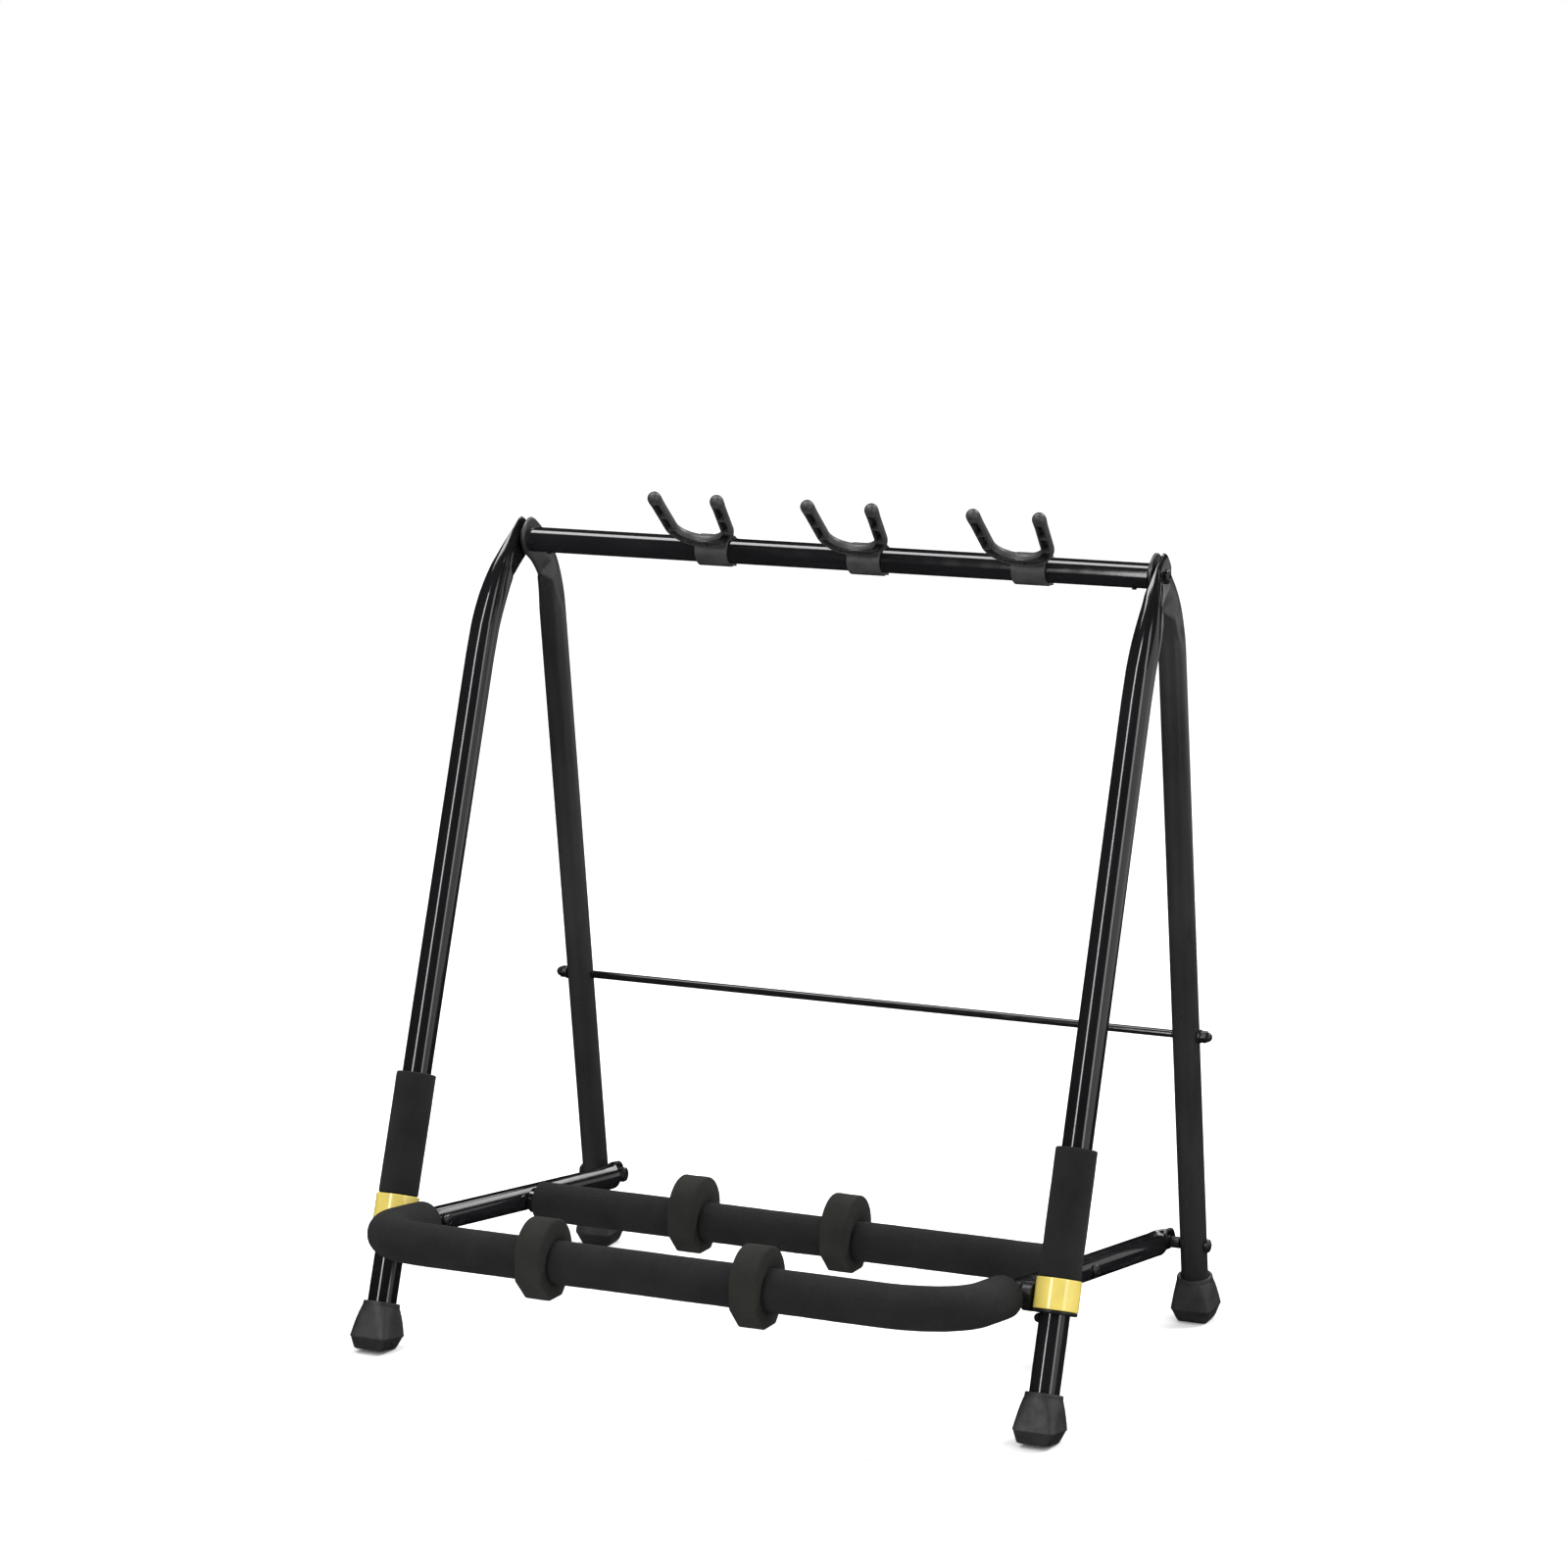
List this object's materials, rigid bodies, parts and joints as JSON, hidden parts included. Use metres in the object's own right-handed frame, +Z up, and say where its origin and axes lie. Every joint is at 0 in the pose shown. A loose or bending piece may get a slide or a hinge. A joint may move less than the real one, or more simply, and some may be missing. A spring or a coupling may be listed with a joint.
{
  "type": "guitar rack",
  "caption": "Folding floor rack that stands guitars side by side on two padded cradle bars, with a forked neck yoke for each on the top bar.",
  "frame": {"origin": "on the floor, under the centre of the bounding box", "axes": "+Z up, -Y towards the front of the rack where the guitars face, +X to the right seen from the front"},
  "size_m": [0.6576, 0.5403, 0.7379],
  "materials": {
    "gloss_black_tube": "gloss black enamel on steel tube",
    "satin_black_tube": "satin black enamel on steel tube",
    "black_steel": "black oxide fasteners, semi-gloss",
    "foam": "matte closed-cell foam sleeve",
    "divider_foam": "matte dense foam block",
    "foot_rubber": "satin moulded rubber",
    "yoke_plastic": "semi-matte moulded plastic",
    "black_plastic": "satin moulded plastic",
    "yellow_plastic": "glossy yellow moulded plastic",
    "nylon": "black nylon washer"
  },
  "bodies": {
    "front_frame": {"top_bar": "gloss_black_tube", "left_front_leg": "gloss_black_tube", "left_front_foot": "foot_rubber", "left_bar_plug": "black_plastic", "left_bar_rivet": "black_steel", "left_pivot_washer": "nylon", "left_pivot_bolt": "black_steel", "left_stop_pin": "black_steel", "right_front_leg": "gloss_black_tube", "right_front_foot": "foot_rubber", "right_bar_plug": "black_plastic", "right_bar_rivet": "black_steel", "right_pivot_washer": "nylon", "right_pivot_bolt": "black_steel", "right_stop_pin": "black_steel"},
    "rear_frame": {"left_rear_leg": "satin_black_tube", "left_rear_foot": "foot_rubber", "left_tie_rod_washer": "black_steel", "left_acorn_nut": "black_steel", "left_rear_pivot_bolt": "black_steel", "right_rear_leg": "satin_black_tube", "right_rear_foot": "foot_rubber", "right_tie_rod_washer": "black_steel", "right_acorn_nut": "black_steel", "right_rear_pivot_bolt": "black_steel", "tie_rod": "gloss_black_tube"},
    "collars": {"left_collar_sleeve": "black_plastic", "left_collar_ring": "yellow_plastic", "left_foam_grip": "foam", "left_collar_boss": "black_plastic", "left_collar_bolt": "black_steel", "right_collar_sleeve": "black_plastic", "right_collar_ring": "yellow_plastic", "right_foam_grip": "foam", "right_collar_boss": "black_plastic", "right_collar_bolt": "black_steel"},
    "cradle": {"cradle_tube": "gloss_black_tube", "front_bar_foam": "foam", "rear_bar": "gloss_black_tube", "rear_bar_foam": "foam", "left_rear_bar_plug": "black_plastic", "left_rear_bar_screw": "black_steel", "left_rear_pivot_washer": "nylon", "left_rear_pivot_nut": "black_steel", "right_rear_bar_plug": "black_plastic", "right_rear_bar_screw": "black_steel", "right_rear_pivot_washer": "nylon", "right_rear_pivot_nut": "black_steel"},
    "yoke_1": {"yoke_1": "yoke_plastic"},
    "yoke_2": {"yoke_2": "yoke_plastic"},
    "yoke_3": {"yoke_3": "yoke_plastic"},
    "front_divider_1": {"front_divider_1": "divider_foam"},
    "front_divider_2": {"front_divider_2": "divider_foam"},
    "rear_divider_1": {"rear_divider_1": "divider_foam"},
    "rear_divider_2": {"rear_divider_2": "divider_foam"}
  },
  "joints": [
    {"name": "rear_leg_fold", "type": "hinge", "parent": "front_frame", "child": "rear_frame", "pos_m": [0, 0.11585, 0.682], "axis": [-1, 0, 0], "range_deg": [0, 25]},
    {"name": "collar_slide", "type": "slide", "parent": "front_frame", "child": "collars", "axis": [0, 0.3198, 0.9475], "range_m": [0, 0.3406]},
    {"name": "cradle_tilt", "type": "hinge", "parent": "collars", "child": "cradle", "pos_m": [0, -0.11631, 0.113], "axis": [-1, 0, 0], "range_deg": [0, 86.7]},
    {"name": "yoke_1_slide", "type": "slide", "parent": "front_frame", "child": "yoke_1", "axis": [1, 0, 0], "range_m": [-0.14, 0.03]},
    {"name": "yoke_2_slide", "type": "slide", "parent": "front_frame", "child": "yoke_2", "axis": [1, 0, 0], "range_m": [-0.03, 0.03]},
    {"name": "yoke_3_slide", "type": "slide", "parent": "front_frame", "child": "yoke_3", "axis": [1, 0, 0], "range_m": [-0.03, 0.068]},
    {"name": "front_divider_1_slide", "type": "slide", "parent": "cradle", "child": "front_divider_1", "axis": [1, 0, 0], "range_m": [-0.095, 0.08]},
    {"name": "front_divider_2_slide", "type": "slide", "parent": "cradle", "child": "front_divider_2", "axis": [1, 0, 0], "range_m": [-0.08, 0.095]},
    {"name": "rear_divider_1_slide", "type": "slide", "parent": "cradle", "child": "rear_divider_1", "axis": [1, 0, 0], "range_m": [-0.135, 0.055]},
    {"name": "rear_divider_2_slide", "type": "slide", "parent": "cradle", "child": "rear_divider_2", "axis": [1, 0, 0], "range_m": [-0.045, 0.18]}
  ],
  "couplings": [
    {"joint": "collar_slide", "follows": "rear_leg_fold", "m_per_rad": 0.78004},
    {"joint": "cradle_tilt", "follows": "rear_leg_fold", "ratio": 3.4612}
  ]
}
